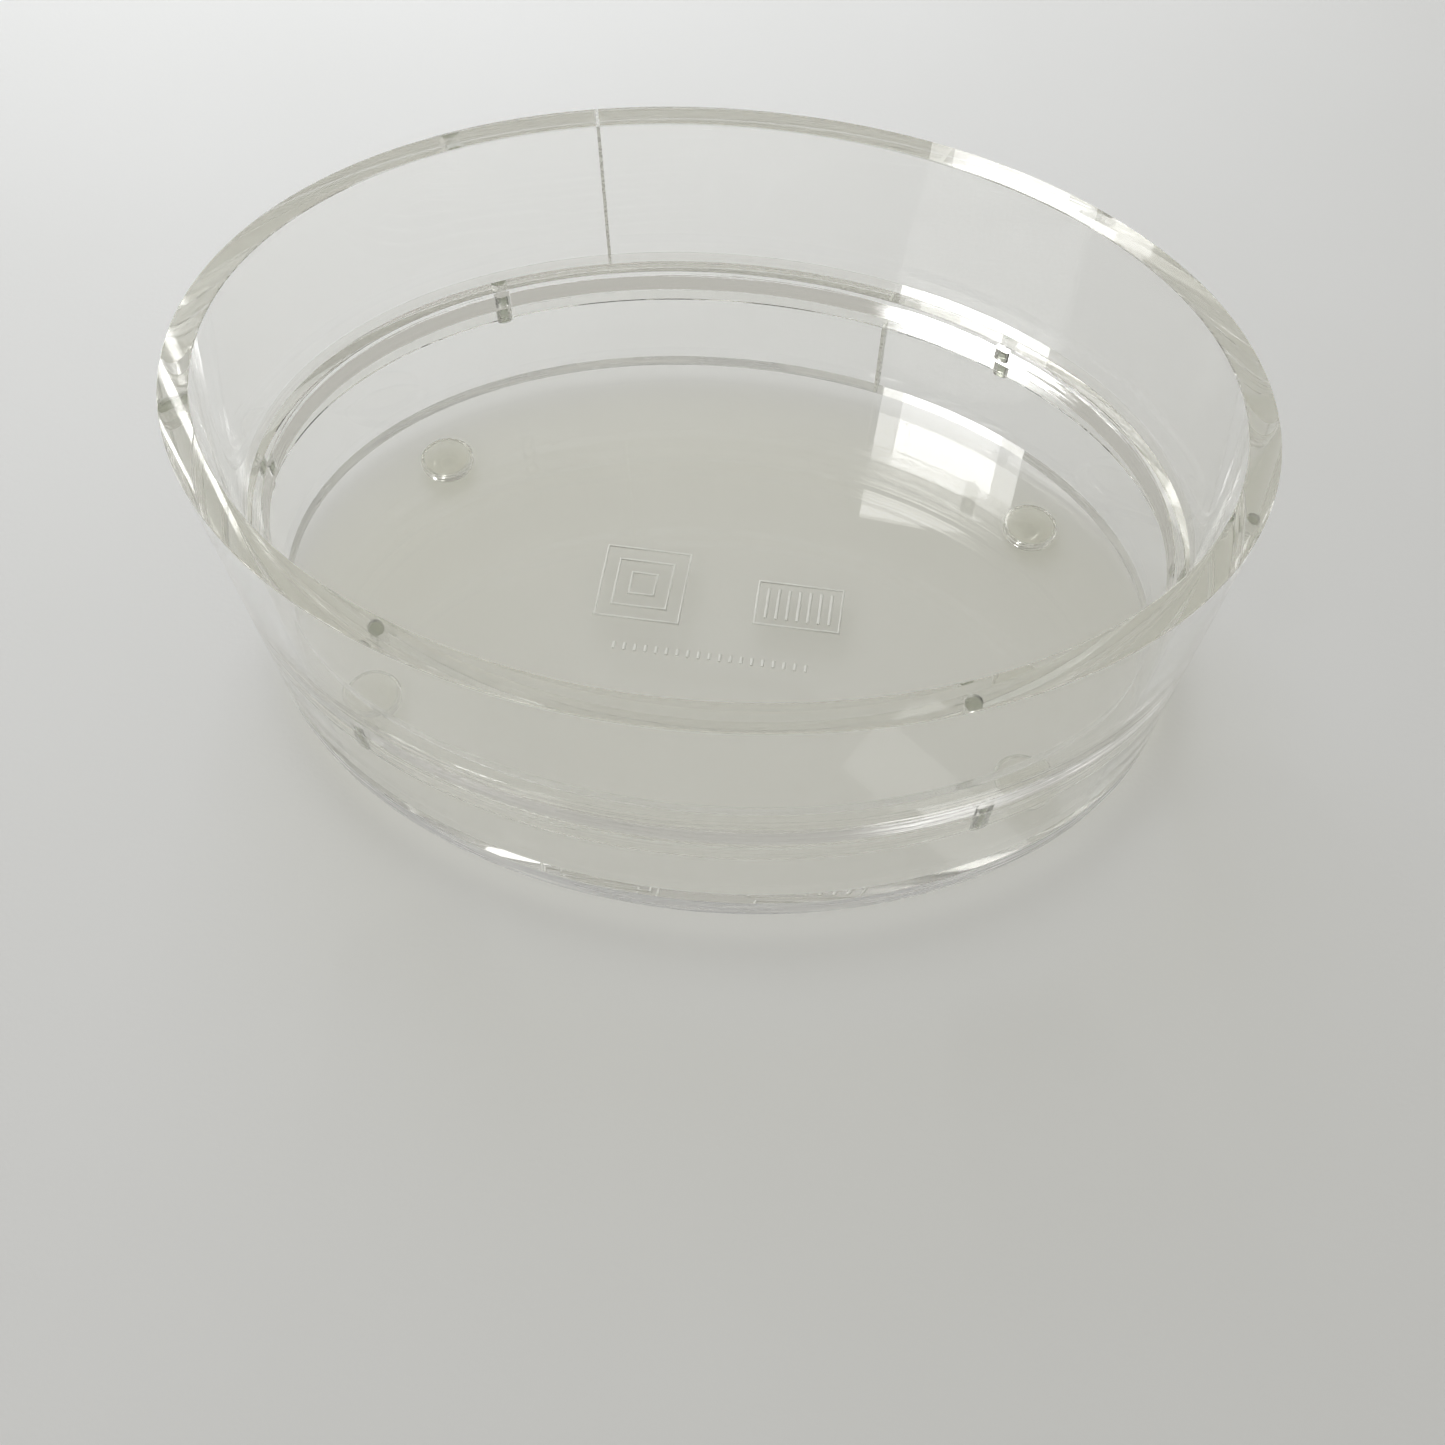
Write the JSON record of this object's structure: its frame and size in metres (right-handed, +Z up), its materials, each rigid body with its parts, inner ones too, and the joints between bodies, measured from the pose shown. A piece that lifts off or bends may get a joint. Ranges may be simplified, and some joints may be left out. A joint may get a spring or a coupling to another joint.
{
  "type": "oval acrylic display tray",
  "caption": "Clear oval display tray in two stacked sections: a shallow tray on small domed feet, and a taller ledged wall that lifts off its locating pins.",
  "frame": {"origin": "centre of the oval, on the surface that the four feet stand on", "axes": "+X along the long axis of the oval, +Z up, out of the open top"},
  "size_m": [0.18, 0.131, 0.0694],
  "materials": {
    "clear_acrylic": "polished clear cast acrylic sheet, faint warm-grey tint through the thickness",
    "weld_cement": "thin seam of cured clear acrylic cement with fine bubbles",
    "pin_acrylic": "clear acrylic rod with sawn, slightly matt ends",
    "clear_bumper": "clear soft polyurethane, smooth domed",
    "adhesive_pad": "thin clear adhesive film"
  },
  "bodies": {
    "lower_tray": {"base_plate": "clear_acrylic", "lower_ring": "clear_acrylic", "lower_ring_weld": "weld_cement", "collar_ring": "clear_acrylic", "pin_right": "pin_acrylic", "pin_back_right": "pin_acrylic", "pin_back_left": "pin_acrylic", "pin_left": "pin_acrylic", "pin_front_left": "pin_acrylic", "pin_front_right": "pin_acrylic", "bumper_back_left": "clear_bumper", "bumper_back_right": "clear_bumper", "bumper_front_left": "clear_bumper", "bumper_front_right": "clear_bumper", "bumper_pad_back_left": "adhesive_pad", "bumper_pad_back_right": "adhesive_pad", "bumper_pad_front_left": "adhesive_pad", "bumper_pad_front_right": "adhesive_pad"},
    "upper_section": {"ledge_ring": "clear_acrylic", "upper_ring": "clear_acrylic", "upper_ring_weld": "weld_cement"}
  },
  "joints": [
    {"name": "lift_off", "type": "slide", "parent": "lower_tray", "child": "upper_section", "axis": [0, 0, 1], "range_m": [0, 0.04]}
  ]
}
